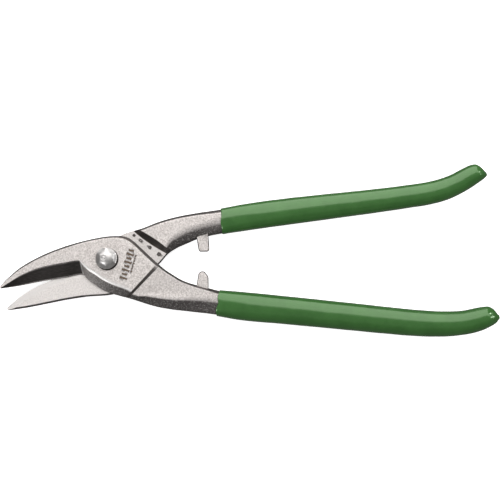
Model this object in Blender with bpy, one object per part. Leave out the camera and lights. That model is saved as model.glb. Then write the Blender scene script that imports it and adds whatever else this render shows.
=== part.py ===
"""Forged hand snips for cutting sheet metal: two crossed halves that turn on one pivot bolt.

Frame: the tool lies flat on the end of its pivot bolt, with Z through its thickness. The pivot axis is Z,
the jaws point to -X and the handles to +X. Outlines are in millimetres and become metres in each mesh.

Each half is a row of stations. A station is a straight line across the half, from its cutting-edge side to
its back side, and carries a section with an outer face and an inner face. The rear half is described turned
over about X, so that both halves have the cutting edge towards -Y and the outer face towards +Z.
"""

import math

import bpy
import numpy as np

MM = 0.001
GAP = 0.3  # clearance between neighbouring pieces

# Levels through the thickness.
BOLT_PROUD = 0.3
NUT_HEIGHT = 4.0
WASHER_THICKNESS = 1.0
PLATE = 5.1  # thickness of each half where the two lap
NUT_BASE = BOLT_PROUD
WASHER_BASE = NUT_BASE + NUT_HEIGHT + GAP
REAR_FACE = WASHER_BASE + WASHER_THICKNESS + GAP
MIDDLE = REAR_FACE + PLATE + GAP / 2
FRONT_FACE = MIDDLE + GAP / 2 + PLATE
LAP = GAP / 2  # lapping face, as a height above the middle
OUTER = GAP / 2 + PLATE  # outer face, as a height above the middle

# The pivot.
SHANK_RADIUS = 4.0
BORE_RADIUS = SHANK_RADIUS + GAP
HEAD_RADIUS = 5.9
HEAD_HEIGHT = 5.2
HEAD_TOP_APOTHEM = 2.9
FACET_SLOPE = 1.2
BOLT_END_RADIUS = 3.5
NUT_ACROSS_FLATS = 13.0
NUT_CHAMFER = 0.7
WASHER_RADIUS = 7.0
WASHER_SLIT_DEGREES = 9.0
TURNED_SIDES = 24

# Forged section of the tangs and the jaws.
PARTING_LAND = 0.6  # half height of the flat left along a forged side
EDGE_LAND = 0.5  # height of the narrow land along the cutting edge
CHEEK_FOOT = 0.8  # height of the side under the cheek's slanted wall
JAW_THINNING = 2.3  # how much thinner the jaw is at its tip
BAND_DEPTH = 0.35  # the ground band lies this much below the jaw's forged face
BAND_WIDTH = 8.5
BAND_SHARE = 0.70  # most of the jaw's width that the band takes near the tip
EDGE_ROUND = 0.8
HANDLE_STEP = 0.7  # drop from the cheek to the handle, at the outer end of the step
WALL_CHAMFER = 0.4
LUG_THICKNESS = 5.0

# Dipped grips.
GRIP_WALL = 0.8
GRIP_HALF_HEIGHT = 6.4
MOST_FLANK = 0.42  # a rounded flank takes at most this share of the width

FLANK_ANGLES = np.radians([0.0, 30.0, 60.0, 90.0])

FRONT_CUT_EDGE = [
    (-58.3, -16.75), (-48.3, -15.3), (-37.7, -13.2), (-29.9, -11.9), (-21.9, -10.6), (-13.3, -9.0),
    (-9.8, -12.2), (-6.2, -14.7), (-3.0, -16.9), (0.7, -18.7), (7.0, -20.7), (13.3, -22.4),
    (18.9, -24.2), (27.3, -26.7), (35.7, -28.2), (46.9, -29.5), (60.4, -31.1),
]  # fmt: skip
FRONT_BACK_EDGE = [
    (-58.7, -15.8), (-56.6, -13.0), (-53.5, -10.1), (-48.3, -5.7), (-37.7, 0.5), (-27.2, 5.0),
    (-16.7, 8.4), (-6.2, 10.9), (0.6, 12.0), (6.4, 12.2), (10.0, 11.8), (12.5, 10.8), (15.5, 8.6),
    (19.2, 5.2), (23.1, 1.5), (28.1, -3.0), (31.5, -5.9), (36.4, -9.2), (41.3, -12.1),
    (48.1, -14.5), (55.9, -16.5), (61.5, -17.7),
]  # fmt: skip
REAR_CUT_EDGE = [
    (-55.3, -27.6), (-50.9, -23.7), (-45.7, -19.7), (-40.4, -16.6), (-35.1, -14.0), (-30.9, -12.2),
    (-25.8, -10.3), (-20.0, -8.4), (-14.5, -6.8), (-12.0, -1.0), (-8.5, 5.0), (-4.0, 9.0),
    (2.0, 11.4), (7.6, 12.5), (9.9, 13.6), (14.4, 15.0), (19.4, 16.4), (27.3, 19.5), (35.7, 22.1),
    (46.9, 24.4), (62.9, 27.2),
]  # fmt: skip
REAR_BACK_EDGE = [
    (-54.2, -28.8), (-43.0, -27.1), (-32.5, -25.0), (-21.9, -22.9), (-11.4, -21.3), (3.3, -20.0),
    (11.0, -17.6), (17.0, -13.6), (23.0, -8.4), (29.0, -2.9), (33.8, 2.4), (38.5, 5.5),
    (44.1, 8.0), (49.2, 10.2), (55.9, 12.1), (63.5, 13.4),
]  # fmt: skip

UPPER_GRIP_OUTER_EDGE = [
    (62.9, 27.4), (73.2, 29.4), (86.4, 31.4), (106.2, 33.8), (145.8, 37.9), (165.6, 40.3),
    (178.8, 42.5), (188.7, 45.7), (195.3, 49.2), (199.7, 51.2), (202.5, 51.7), (204.9, 50.7),
    (207.4, 48.4), (209.2, 46.1),
]  # fmt: skip
UPPER_GRIP_INNER_EDGE = [
    (63.6, 13.1), (73.2, 14.6), (86.4, 16.5), (106.2, 19.2), (145.8, 24.6), (165.6, 27.5),
    (178.8, 29.7), (188.7, 32.6), (198.3, 37.5), (204.6, 41.6), (207.6, 43.8), (209.0, 45.3),
]  # fmt: skip
LOWER_GRIP_OUTER_EDGE = [
    (60.6, -31.9), (73.2, -34.1), (93.0, -35.9), (132.6, -39.6), (152.4, -41.5), (165.6, -42.6),
    (178.8, -43.2), (192.0, -42.7), (205.2, -40.2), (211.8, -37.2), (214.6, -35.2), (216.2, -33.0),
]  # fmt: skip
LOWER_GRIP_INNER_EDGE = [
    (61.6, -17.5), (73.2, -18.4), (93.0, -20.3), (132.6, -24.4), (172.2, -28.5), (185.4, -29.2),
    (195.3, -28.8), (205.2, -26.9), (209.1, -26.5), (212.4, -27.8), (216.2, -32.3),
]  # fmt: skip

# Stations as (x at the cutting-edge side, x at the back side).
FRONT_JAW = [(-58.2, -58.6), (-56.5, -56.5), (-53, -53), (-48.3, -48.3), (-43, -43), (-37, -38),
             (-31, -32.5), (-25, -27.5), (-19, -22), (-13.6, -17.2)]  # fmt: skip
FRONT_CHEEK = [(-12.8, -16.3), (-9.8, -11), (-6.2, -5), (-2.5, 1.5), (1, 7), (4.5, 13), (8, 20.5),
               (10.8, 28.2)]  # fmt: skip
FRONT_HANDLE = [(11.4, 28.9), (13, 31), (14.9, 33.6)]
FRONT_TANG = [(18.2, 36.6), (24, 41), (31, 45.5), (39, 50), (48, 54), (56, 58)]
REAR_JAW = [(-55.2, -54.3), (-53, -53), (-48.3, -49), (-43, -44), (-37, -38), (-31, -32),
            (-25, -25.5), (-19, -19), (-14.6, -13)]  # fmt: skip
REAR_CHEEK = [(-14, -12), (-11.8, -7), (-8.5, -2), (-4, 3.3), (1, 10), (6, 18), (11, 28)]
REAR_HANDLE = [(11.6, 29), (13, 31.5), (14.6, 33.9)]
REAR_TANG = [(17.6, 35.2), (22, 37.5), (28, 41), (35.7, 45), (43, 50), (51, 55), (58, 60)]

# Grip stations as (x at the outer side, x at the inner side, share of the full half height).
UPPER_GRIP_STATIONS = [
    (62.9, 63.5, 0.97), (73, 74, 1.0), (86, 88, 1.0), (106, 108, 1.0), (126, 128, 1.0),
    (145, 148, 0.99), (165, 168, 0.97), (176, 180, 0.96), (184, 190, 0.96), (190, 197, 0.95),
    (195.3, 202, 0.92), (199.5, 205.4, 0.83), (202.5, 207.3, 0.7), (205.6, 208.5, 0.47),
    (207.9, 208.9, 0.25),
]  # fmt: skip
LOWER_GRIP_STATIONS = [
    (60.6, 61.9, 0.97), (72, 73, 1.0), (92, 93, 1.0), (112, 112, 1.0), (132, 132, 1.0),
    (152, 151, 0.99), (168, 167, 0.98), (181, 180, 0.97), (192, 190, 0.96), (201, 198, 0.95),
    (207, 203, 0.92), (211, 207, 0.83), (213.3, 210, 0.7), (215, 212.6, 0.47), (215.9, 215, 0.22),
]  # fmt: skip
CORE_STATIONS = 11  # the steel core ends at this grip station
POCKET_STATIONS = 12  # the hollow in the grip ends at this one

UPPER_LUG = [(49.0, 13.5), (50.4, 4.6), (51.3, 3.5), (55.5, 3.5), (56.4, 4.6), (55.6, 15.0)]
LOWER_LUG = [(49.0, -17.5), (50.3, -8.5), (51.7, -7.1), (53.7, -7.3), (55.9, -10.2), (56.0, -19.5)]

FORGED_STEEL = dict(colour=(0.60, 0.57, 0.55), roughness=0.45, metallic=0.9)
PLATED_STEEL = dict(colour=(0.70, 0.69, 0.67), roughness=0.25, metallic=1.0)
DARK_STEEL = dict(colour=(0.32, 0.31, 0.30), roughness=0.35, metallic=1.0)
GREEN_VINYL = dict(colour=(0.06, 0.22, 0.05), roughness=0.35, metallic=0.0)


def clear_scene():
    for thing in list(bpy.data.objects):
        bpy.data.objects.remove(thing, do_unlink=True)


def finish_material(name, colour, roughness, metallic):
    material = bpy.data.materials.new(name)
    material.use_nodes = True
    shader = material.node_tree.nodes["Principled BSDF"]
    shader.inputs["Base Color"].default_value = (*colour, 1.0)
    shader.inputs["Roughness"].default_value = roughness
    shader.inputs["Metallic"].default_value = metallic
    return material


def solid(name, points, faces, finish, sharp_degrees=30.0):
    """A mesh object from points in millimetres."""
    mesh = bpy.data.meshes.new(name)
    mesh.from_pydata([tuple(float(c) * MM for c in p) for p in points], [], faces)
    mesh.shade_smooth()
    mesh.set_sharp_from_angle(angle=math.radians(sharp_degrees))
    mesh.materials.append(finish_material(f"{name}_finish", **finish))
    thing = bpy.data.objects.new(name, mesh)
    bpy.context.collection.objects.link(thing)
    return thing


def turned_over(points):
    return [(x, -y) for x, y in points]


def smooth_edge(points):
    """y as a smooth function of x through the points, with no overshoot between them."""
    xs, ys = np.array(points).T
    run, rise = np.diff(xs), np.diff(ys)
    slope = rise / run
    tangent = np.concatenate([slope[:1], (slope[1:] + slope[:-1]) / 2, slope[-1:]])
    turns = slope[1:] * slope[:-1] <= 0
    tangent[1:-1][turns] = 0.0
    steepest = 3 * np.minimum(np.abs(slope[1:]), np.abs(slope[:-1]))
    tangent[1:-1] = np.clip(tangent[1:-1], -steepest, steepest)

    def y_at(x):
        x = min(max(x, xs[0]), xs[-1])
        k = min(int(np.searchsorted(xs, x, side="right")) - 1, len(run) - 1)
        t = (x - xs[k]) / run[k]
        return float(
            ys[k] * (1 + 2 * t) * (1 - t) ** 2
            + ys[k + 1] * t * t * (3 - 2 * t)
            + run[k] * (tangent[k] * t * (1 - t) ** 2 - tangent[k + 1] * t * t * (1 - t))
        )

    return y_at


def section(cut_point, back_point, outer, inner, cut_flank, back_flank, cut_foot, back_foot, roundness):
    """One station's ring of points: the outer face from the cutting-edge side to the back, then the inner
    face back again. outer is (height at the cut flank's top, height at the back flank's top); inner is one
    height. Each foot is (outer side's height, inner side's height) at that edge. Heights are from MIDDLE."""
    cut_point, back_point = np.array(cut_point, float), np.array(back_point, float)
    width = np.linalg.norm(back_point - cut_point)
    cut_share = min(cut_flank / width, MOST_FLANK if roundness else BAND_SHARE)
    back_share = min(back_flank / width, MOST_FLANK if roundness else 0.12)
    across = 1 - np.cos(FLANK_ANGLES)
    climb = np.sin(FLANK_ANGLES)
    cut_climb = roundness * climb + (1 - roundness) * across
    shares = list(cut_share * across)
    between = (1 - cut_share - back_share) / 3
    shares += [cut_share + between, cut_share + 2 * between]
    shares += list(1 - back_share * across[::-1])
    level = np.linspace(outer[0], outer[1], 4)
    outer_heights = list(cut_foot[0] + (outer[0] - cut_foot[0]) * cut_climb)
    outer_heights += [level[1], level[2]]
    outer_heights += list(back_foot[0] + (outer[1] - back_foot[0]) * climb[::-1])
    inner_heights = list(cut_foot[1] + (inner - cut_foot[1]) * cut_climb)
    inner_heights += [inner, inner]
    inner_heights += list(back_foot[1] + (inner - back_foot[1]) * climb[::-1])
    spots = [cut_point + (back_point - cut_point) * share for share in shares]
    outside = [(*spot, height) for spot, height in zip(spots, outer_heights)]
    inside = [(*spot, height) for spot, height in zip(spots, inner_heights)]
    return np.array(outside + inside[::-1])


def loft_faces(rings, ring_size, first=0, inward=False):
    """Quads between neighbouring rings."""
    faces = []
    for i in range(rings - 1):
        for j in range(ring_size):
            a, b = first + i * ring_size + j, first + i * ring_size + (j + 1) % ring_size
            face = [a, b, b + ring_size, a + ring_size]
            faces.append(face if inward else face[::-1])
    return faces


def placed(rings, rear):
    """Puts rings at their real height, and turns the rear half over."""
    points = np.concatenate(rings)
    if rear:
        points = points * (1, -1, -1)
    return points + (0, 0, MIDDLE)


def half_rings(cut_edge, back_edge, jaw, cheek, handle, tang):
    """The plate and tang of one half, up to the start of its grip."""
    cut_at, back_at = smooth_edge(cut_edge), smooth_edge(back_edge)
    tip, jaw_end = jaw[0][0], jaw[-1][0]
    tang_start, tang_end = handle[0][0], tang[-1][0]
    flat_foot = (LAP + EDGE_LAND, LAP)
    forged_foot = (PARTING_LAND, -PARTING_LAND)
    rings = []

    def add(station, **shape):
        x_cut, x_back = station
        rings.append(section((x_cut, cut_at(x_cut)), (x_back, back_at(x_back)), **shape))

    for station in jaw:
        thinning = JAW_THINNING * (jaw_end - station[0]) / (jaw_end - tip)
        top = OUTER - thinning
        add(station, outer=(top - BAND_DEPTH, top), inner=LAP, cut_flank=BAND_WIDTH, back_flank=EDGE_ROUND,
            cut_foot=flat_foot, back_foot=(top - EDGE_ROUND, LAP), roundness=0.0)  # fmt: skip
    for station in cheek:
        reach = (station[0] - cheek[0][0]) / (cheek[-1][0] - cheek[0][0])
        add(station, outer=(OUTER - WALL_CHAMFER * (1 - reach), OUTER), inner=LAP, cut_flank=6.6 - 1.8 * reach,
            back_flank=EDGE_ROUND, cut_foot=(LAP + CHEEK_FOOT, LAP), back_foot=(OUTER - EDGE_ROUND, LAP),
            roundness=0.0)  # fmt: skip
    for station in handle:
        add(station, outer=(OUTER - HANDLE_STEP, OUTER), inner=LAP, cut_flank=3.8, back_flank=EDGE_ROUND,
            cut_foot=(LAP + CHEEK_FOOT, LAP), back_foot=(OUTER - EDGE_ROUND, LAP), roundness=0.5)  # fmt: skip
    for station in tang:
        reach = (station[0] - tang_start) / (tang_end - tang_start)
        add(station, outer=(OUTER - HANDLE_STEP * (1 - reach), OUTER), inner=-OUTER,
            cut_flank=4.0 + 2.4 * reach, back_flank=2.0 + 4.4 * reach,
            cut_foot=forged_foot, back_foot=forged_foot, roundness=1.0)  # fmt: skip
    return rings


def grip_rings(outer_edge, inner_edge, stations, inset):
    """Rings of a grip's surface, or of one inset below it."""
    outer_at, inner_at = smooth_edge(outer_edge), smooth_edge(inner_edge)
    rings = []
    for x_outer, x_inner, share in stations:
        outer_point = np.array([x_outer, outer_at(x_outer)])
        inner_point = np.array([x_inner, inner_at(x_inner)])
        step = (inner_point - outer_point) / np.linalg.norm(inner_point - outer_point) * inset
        height = GRIP_HALF_HEIGHT * share - inset
        land = min(PARTING_LAND, 0.3 * height)
        rings.append(
            section(outer_point + step, inner_point - step, outer=(height, height), inner=-height,
                    cut_flank=99.0, back_flank=99.0, cut_foot=(land, -land), back_foot=(land, -land),
                    roundness=1.0)
        )  # fmt: skip
    return rings


def apply_boolean(target, tool, operation):
    """Cuts or joins tool into target, and removes the tool."""
    modifier = target.modifiers.new(operation.lower(), "BOOLEAN")
    modifier.operation = operation
    modifier.solver = "EXACT"
    modifier.object = tool
    evaluated = target.evaluated_get(bpy.context.evaluated_depsgraph_get())
    result = bpy.data.meshes.new_from_object(evaluated)
    target.modifiers.clear()
    target.data = result
    bpy.data.objects.remove(tool, do_unlink=True)


def turned_rings(profile, sides):
    """Points of a turned shape from (radius, height) pairs, top to bottom."""
    angles = np.arange(sides) * 2 * math.pi / sides
    return [np.array([(r * math.cos(a), r * math.sin(a), z) for a in angles]) for r, z in profile]


def closed_loft(name, rings, finish, inward=False):
    size = len(rings[0])
    faces = loft_faces(len(rings), size, inward=inward)
    first = list(range(size))
    last = [(len(rings) - 1) * size + j for j in range(size)]
    faces += [first[::-1], last] if inward else [first, last[::-1]]
    return solid(name, np.concatenate(rings), faces, finish)


def pivot_bore(name):
    top, bottom = FRONT_FACE + 5, REAR_FACE - 5
    return closed_loft(name, turned_rings([(BORE_RADIUS, top), (BORE_RADIUS, bottom)], TURNED_SIDES), DARK_STEEL)


def stop_lug(name, outline):
    """A lug at mid thickness, as a prism whose root lies inside the tang."""
    heights = (MIDDLE + LUG_THICKNESS / 2, MIDDLE - LUG_THICKNESS / 2)
    rings = [np.array([(x, y, z) for x, y in outline]) for z in heights]
    return closed_loft(name, rings, FORGED_STEEL)


def steel_half(name, cut_edge, back_edge, jaw, cheek, handle, tang, grip_edges, grip_stations, lug, rear):
    """Jaw, cheek, tang and the core inside the grip, with the pivot bore and the stop lug."""
    if rear:
        cut_edge, back_edge = turned_over(cut_edge), turned_over(back_edge)
        grip_edges = [turned_over(edge) for edge in grip_edges]
    rings = half_rings(cut_edge, back_edge, jaw, cheek, handle, tang)
    core = [(x1 - GAP if i == 0 else x1, x2 - GAP if i == 0 else x2, share)
            for i, (x1, x2, share) in enumerate(grip_stations[:CORE_STATIONS])]  # fmt: skip
    rings += grip_rings(*grip_edges, core, GRIP_WALL + GAP)
    points = placed(rings, rear)
    half = closed_loft(name, np.split(points, len(rings)), FORGED_STEEL)
    apply_boolean(half, stop_lug(f"{name}_lug", lug), "UNION")
    apply_boolean(half, pivot_bore(f"{name}_bore"), "DIFFERENCE")
    return half


def dipped_grip(name, grip_edges, stations, rear):
    """A sleeve closed at its far end: an outer skin, a pocket for the core and the rim that joins them."""
    if rear:
        grip_edges = [turned_over(edge) for edge in grip_edges]
    skin = grip_rings(*grip_edges, stations, 0.0)
    pocket = grip_rings(*grip_edges, stations[:POCKET_STATIONS], GRIP_WALL)
    size = len(skin[0])
    points = placed(skin + pocket, rear)
    pocket_start = len(skin) * size
    faces = loft_faces(len(skin), size)
    faces += loft_faces(len(pocket), size, first=pocket_start, inward=True)
    faces.append([(len(skin) - 1) * size + j for j in range(size)][::-1])
    faces.append([pocket_start + (len(pocket) - 1) * size + j for j in range(size)])
    for j in range(size):
        k = (j + 1) % size
        faces.append([j, k, pocket_start + k, pocket_start + j])
    return solid(name, points, faces, GREEN_VINYL, sharp_degrees=50.0)


def facet_height(angle):
    """How far below the head's top the facet at this angle meets the head's round side."""
    from_flat = (angle + math.pi / 6) % (math.pi / 3) - math.pi / 6
    return FACET_SLOPE * (HEAD_RADIUS * math.cos(from_flat) - HEAD_TOP_APOTHEM)


def pivot_bolt():
    """A low head with six sloping facets on a round base, a plain shank and a chamfered end."""
    base = FRONT_FACE + GAP
    top = base + HEAD_HEIGHT
    angles = np.arange(TURNED_SIDES) * 2 * math.pi / TURNED_SIDES
    crown, shoulder = [], []
    for a in angles:
        from_flat = (a + math.pi / 6) % (math.pi / 3) - math.pi / 6
        r = HEAD_TOP_APOTHEM / math.cos(from_flat)
        crown.append((r * math.cos(a), r * math.sin(a), top))
        shoulder.append((HEAD_RADIUS * math.cos(a), HEAD_RADIUS * math.sin(a), top - facet_height(a)))
    end_chamfer = SHANK_RADIUS - BOLT_END_RADIUS
    turned = [(HEAD_RADIUS, base + 0.4), (HEAD_RADIUS - 0.4, base), (SHANK_RADIUS, base),
              (SHANK_RADIUS, end_chamfer), (BOLT_END_RADIUS, 0.0)]  # fmt: skip
    rings = [np.array(crown), np.array(shoulder)] + turned_rings(turned, TURNED_SIDES)
    return closed_loft("pivot_bolt", rings, PLATED_STEEL)


def pivot_nut():
    """A thin hexagon nut with chamfered corners and a plain bore."""
    angles = np.arange(TURNED_SIDES) * 2 * math.pi / TURNED_SIDES
    rings = []
    low, high = NUT_BASE, NUT_BASE + NUT_HEIGHT
    for z, most in ((high, 6.4), (high - NUT_CHAMFER, 7.6), (low + NUT_CHAMFER, 7.6), (low, 6.4)):
        ring = []
        for a in angles:
            from_flat = (a + math.pi / 6) % (math.pi / 3) - math.pi / 6
            r = min(NUT_ACROSS_FLATS / 2 / math.cos(from_flat), most)
            ring.append((r * math.cos(a), r * math.sin(a), z))
        rings.append(np.array(ring))
    rings += turned_rings([(BORE_RADIUS, low), (BORE_RADIUS, high)], TURNED_SIDES)
    size = TURNED_SIDES
    faces = loft_faces(len(rings), size)
    last = (len(rings) - 1) * size
    for j in range(size):
        k = (j + 1) % size
        faces.append([j, k, last + k, last + j])
    return solid("pivot_nut", np.concatenate(rings), faces, PLATED_STEEL)


def spring_washer():
    """A split ring of square section."""
    half_slit = math.radians(WASHER_SLIT_DEGREES / 2)
    angles = np.linspace(half_slit, 2 * math.pi - half_slit, TURNED_SIDES + 1)
    low, high = WASHER_BASE, WASHER_BASE + WASHER_THICKNESS
    corners = [(BORE_RADIUS, low), (WASHER_RADIUS, low), (WASHER_RADIUS, high), (BORE_RADIUS, high)]
    rings = [np.array([(r * math.cos(a), r * math.sin(a), z) for r, z in corners]) for a in angles]
    return closed_loft("spring_washer", rings, DARK_STEEL)


def main():
    clear_scene()
    upper_grip_edges = [UPPER_GRIP_OUTER_EDGE, UPPER_GRIP_INNER_EDGE]
    lower_grip_edges = [LOWER_GRIP_OUTER_EDGE, LOWER_GRIP_INNER_EDGE]
    steel_half("front_half", FRONT_CUT_EDGE, FRONT_BACK_EDGE, FRONT_JAW, FRONT_CHEEK, FRONT_HANDLE, FRONT_TANG,
               lower_grip_edges, LOWER_GRIP_STATIONS, LOWER_LUG, rear=False)  # fmt: skip
    steel_half("rear_half", REAR_CUT_EDGE, REAR_BACK_EDGE, REAR_JAW, REAR_CHEEK, REAR_HANDLE, REAR_TANG,
               upper_grip_edges, UPPER_GRIP_STATIONS, UPPER_LUG, rear=True)  # fmt: skip
    dipped_grip("lower_grip", lower_grip_edges, LOWER_GRIP_STATIONS, rear=False)
    dipped_grip("upper_grip", upper_grip_edges, UPPER_GRIP_STATIONS, rear=True)
    pivot_bolt()
    spring_washer()
    pivot_nut()


main()
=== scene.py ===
import math

import bpy
import numpy as np
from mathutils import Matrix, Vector, kdtree, noise


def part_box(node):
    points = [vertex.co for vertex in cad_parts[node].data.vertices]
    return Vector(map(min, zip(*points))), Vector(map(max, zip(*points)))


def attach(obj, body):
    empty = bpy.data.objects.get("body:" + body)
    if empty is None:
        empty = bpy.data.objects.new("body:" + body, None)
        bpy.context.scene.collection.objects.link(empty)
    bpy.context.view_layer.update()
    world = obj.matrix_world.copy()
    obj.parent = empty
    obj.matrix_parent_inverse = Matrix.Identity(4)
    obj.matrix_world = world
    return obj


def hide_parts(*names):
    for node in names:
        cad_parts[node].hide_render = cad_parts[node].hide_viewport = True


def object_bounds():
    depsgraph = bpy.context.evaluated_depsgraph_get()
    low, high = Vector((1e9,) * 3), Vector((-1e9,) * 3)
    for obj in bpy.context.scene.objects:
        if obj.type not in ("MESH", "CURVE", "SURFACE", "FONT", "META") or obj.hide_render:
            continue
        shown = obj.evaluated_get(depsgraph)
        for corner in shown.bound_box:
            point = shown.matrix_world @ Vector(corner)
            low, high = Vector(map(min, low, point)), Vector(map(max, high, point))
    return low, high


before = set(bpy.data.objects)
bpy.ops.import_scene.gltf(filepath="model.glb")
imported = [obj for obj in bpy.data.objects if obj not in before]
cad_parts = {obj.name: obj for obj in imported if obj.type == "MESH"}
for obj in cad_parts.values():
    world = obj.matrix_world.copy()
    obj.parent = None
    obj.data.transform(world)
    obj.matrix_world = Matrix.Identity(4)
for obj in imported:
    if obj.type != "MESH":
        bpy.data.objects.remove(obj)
cad_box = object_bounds()

MM = 0.001

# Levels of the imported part, in millimetres. Heights in a section are measured from MIDDLE.
MIDDLE = (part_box("front_half")[0].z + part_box("front_half")[1].z) / 2 / MM
LAP = 0.15
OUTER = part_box("front_half")[1].z / MM - MIDDLE
FRONT_FACE = MIDDLE + OUTER
REAR_FACE = MIDDLE - OUTER
HEAD_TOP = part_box("pivot_bolt")[1].z / MM
HEAD_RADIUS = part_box("pivot_bolt")[1].x / MM
NUT_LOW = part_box("pivot_nut")[0].z / MM
NUT_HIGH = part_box("pivot_nut")[1].z / MM
WASHER_RADIUS = -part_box("spring_washer")[0].x / MM
SHANK_RADIUS = 4.0
BORE_RADIUS = 4.3
SEAT_GAP = 0.04  # stacked parts sit this close to each other
SHARP_DEGREES = 32.0  # edges between faces that lean further apart than this stay sharp
TURNED_OVER = np.array([1.0, -1.0, -1.0])  # the rear half is described turned over about X

# Outlines of the two forged halves, (x, y) in millimetres.
FRONT_CUT_EDGE = [
    (-58.3, -16.75), (-48.3, -15.3), (-37.7, -13.2), (-29.9, -11.9), (-21.9, -10.6), (-13.3, -9.0),
    (-9.8, -12.2), (-6.2, -14.7), (-3.0, -16.9), (0.7, -18.7), (7.0, -20.7), (13.3, -22.4),
    (18.9, -24.2), (27.3, -26.7), (35.7, -28.2), (46.9, -29.5), (60.4, -31.1), (73.2, -33.2),
]
FRONT_BACK_EDGE = [
    (-58.7, -15.8), (-56.6, -13.0), (-53.5, -10.1), (-48.3, -5.7), (-37.7, 0.5), (-27.2, 5.0),
    (-16.7, 8.4), (-6.2, 10.9), (0.6, 12.0), (6.4, 12.2), (10.0, 11.8), (12.5, 10.8), (15.5, 8.6),
    (19.2, 5.2), (23.1, 1.5), (28.1, -3.0), (31.5, -5.9), (36.4, -9.2), (41.3, -12.1),
    (48.1, -14.5), (55.9, -16.5), (61.5, -17.9), (73.2, -19.3),
]
REAR_CUT_EDGE = [
    (-55.3, -27.6), (-50.9, -23.7), (-45.7, -19.7), (-40.4, -16.6), (-35.1, -14.0), (-30.9, -12.2),
    (-25.8, -10.3), (-20.0, -8.4), (-14.5, -6.8), (-12.0, -1.0), (-8.5, 5.0), (-4.0, 9.0),
    (2.0, 11.4), (7.6, 12.5), (9.9, 13.6), (14.4, 15.0), (19.4, 16.4), (27.3, 19.5), (35.7, 22.1),
    (46.9, 24.4), (62.9, 26.8), (73.2, 28.5),
]
REAR_BACK_EDGE = [
    (-54.2, -28.8), (-43.0, -27.1), (-32.5, -25.0), (-21.9, -22.9), (-11.4, -21.3), (3.3, -20.0),
    (11.0, -17.6), (17.0, -13.6), (23.0, -8.4), (29.0, -2.9), (33.8, 2.4), (38.5, 5.5),
    (44.1, 8.0), (49.2, 10.2), (55.9, 12.1), (63.5, 13.6), (73.2, 15.5),
]
UPPER_GRIP_OUTER_EDGE = [
    (62.9, 27.4), (73.2, 29.4), (86.4, 31.4), (106.2, 33.8), (145.8, 37.9), (165.6, 40.3),
    (178.8, 42.5), (188.7, 45.7), (195.3, 49.2), (199.7, 51.2), (202.5, 51.7), (204.9, 50.7),
    (207.4, 48.4), (209.2, 46.1),
]
UPPER_GRIP_INNER_EDGE = [
    (63.6, 13.1), (73.2, 14.6), (86.4, 16.5), (106.2, 19.2), (145.8, 24.6), (165.6, 27.5),
    (178.8, 29.7), (188.7, 32.6), (198.3, 37.5), (204.6, 41.6), (207.6, 43.8), (209.0, 45.3),
]
LOWER_GRIP_OUTER_EDGE = [
    (60.6, -31.9), (73.2, -34.1), (93.0, -35.9), (132.6, -39.6), (152.4, -41.5), (165.6, -42.6),
    (178.8, -43.2), (192.0, -42.7), (205.2, -40.2), (211.8, -37.2), (214.6, -35.2), (216.2, -33.0),
]
LOWER_GRIP_INNER_EDGE = [
    (61.6, -17.5), (73.2, -18.4), (93.0, -20.3), (132.6, -24.4), (172.2, -28.5), (185.4, -29.2),
    (195.3, -28.8), (205.2, -26.9), (209.1, -26.5), (212.4, -27.8), (216.2, -32.3),
]
UPPER_GRIP_STATIONS = [
    (62.9, 63.5, 0.97), (73, 74, 1.0), (86, 88, 1.0), (106, 108, 1.0), (126, 128, 1.0),
    (145, 148, 0.99), (165, 168, 0.97), (176, 180, 0.96), (184, 190, 0.96), (190, 197, 0.95),
    (195.3, 202, 0.93), (199.5, 205.2, 0.915), (201.7, 206.4, 0.885), (203.6, 207.5, 0.73),
    (205.8, 208.5, 0.5), (207.9, 208.9, 0.22),
]
LOWER_GRIP_STATIONS = [
    (60.6, 61.9, 0.97), (72, 73, 1.0), (92, 93, 1.0), (112, 112, 1.0), (132, 132, 1.0),
    (152, 151, 0.99), (168, 167, 0.98), (181, 180, 0.97), (192, 190, 0.96), (201, 198, 0.95),
    (207, 203, 0.93), (210, 205.8, 0.915), (211.8, 208, 0.885), (213.1, 209.8, 0.74), (214.8, 212.4, 0.5),
    (215.9, 215, 0.2),
]

# A section is a ring of nine corners, each with its own rounding, and these values shape it. x_cut and x_back
# place it, bow bends it, the r_ values round its corners, and those from ground on say how it is painted.
FIELDS = [
    "x_cut", "x_back", "flank", "chamfer", "dip", "face_cut", "face_back", "draft", "back_top",
    "back_low", "inner", "inner_back", "inner_cut", "foot_top", "foot_low", "r_foot", "r_crest",
    "r_back", "r_side", "r_inner", "r_inner_cut", "bow",
    "ground", "polish", "strip", "soot", "soot_inner",
]
CORNER_STEPS = 6
RUN_STEPS = (10, 3, 16, 4, 2, 2, 12, 3, 2)  # pieces of the straight run after each corner
FEWEST_ROWS = 7  # between two key rows
MOST_ROUNDING = 0.49  # a rounding takes at most this share of a side


def smooth_curve(xs, ys):
    """A curve through the points with no overshoot between them."""
    xs, ys = np.array(xs, float), np.array(ys, float)
    run, rise = np.diff(xs), np.diff(ys)
    slope = rise / run
    tangent = np.concatenate([slope[:1], (slope[1:] + slope[:-1]) / 2, slope[-1:]])
    inside = tangent[1:-1]
    inside[slope[1:] * slope[:-1] <= 0] = 0.0
    steepest = 3 * np.minimum(np.abs(slope[1:]), np.abs(slope[:-1]))
    tangent[1:-1] = np.clip(inside, -steepest, steepest)

    def at(x):
        x = np.clip(x, xs[0], xs[-1])
        k = np.clip(np.searchsorted(xs, x, side="right") - 1, 0, len(run) - 1)
        t = (x - xs[k]) / run[k]
        start = ys[k] * (1 + 2 * t) * (1 - t) ** 2 + run[k] * tangent[k] * t * (1 - t) ** 2
        end = ys[k + 1] * t * t * (3 - 2 * t) - run[k] * tangent[k + 1] * t * t * (1 - t)
        return start + end

    return at


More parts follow.
